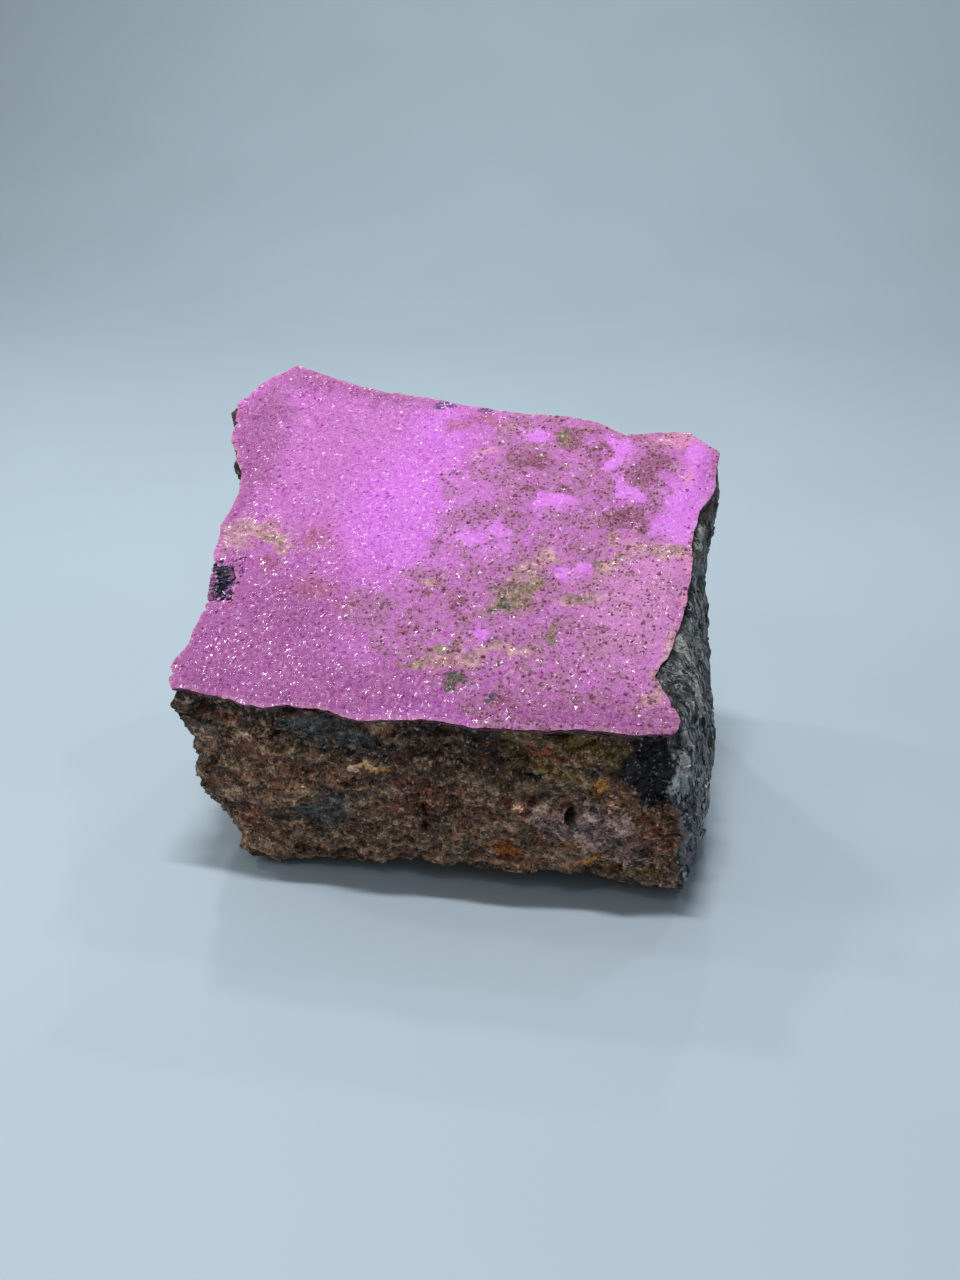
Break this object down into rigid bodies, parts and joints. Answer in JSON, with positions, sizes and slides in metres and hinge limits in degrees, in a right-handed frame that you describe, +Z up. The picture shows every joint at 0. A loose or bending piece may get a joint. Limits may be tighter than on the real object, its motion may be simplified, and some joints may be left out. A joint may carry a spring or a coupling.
{
  "type": "cobaltoan calcite specimen",
  "caption": "Loose block of dark host rock, higher at the back, whose sloping top plane is covered by a thin crust of small pink calcite crystals; it stands on its flat underside.",
  "frame": {"origin": "middle of the specimen's box, on the surface it stands on", "axes": "+X to the right along the front face, +Y back into the block towards its higher end, +Z up"},
  "size_m": [0.1218, 0.0984, 0.0847],
  "materials": {
    "host_rock": "rough broken rock, brown and grey grains in front, dark fibrous schist at the right",
    "pink_calcite": "sparkling sugar-fine druse, orchid pink, with brown and olive grains",
    "black_crystal": "glossy black crystals"
  },
  "bodies": {
    "root": {"matrix_rock": "host_rock", "calcite_crust": "pink_calcite", "black_crystals": "black_crystal"}
  },
  "joints": []
}
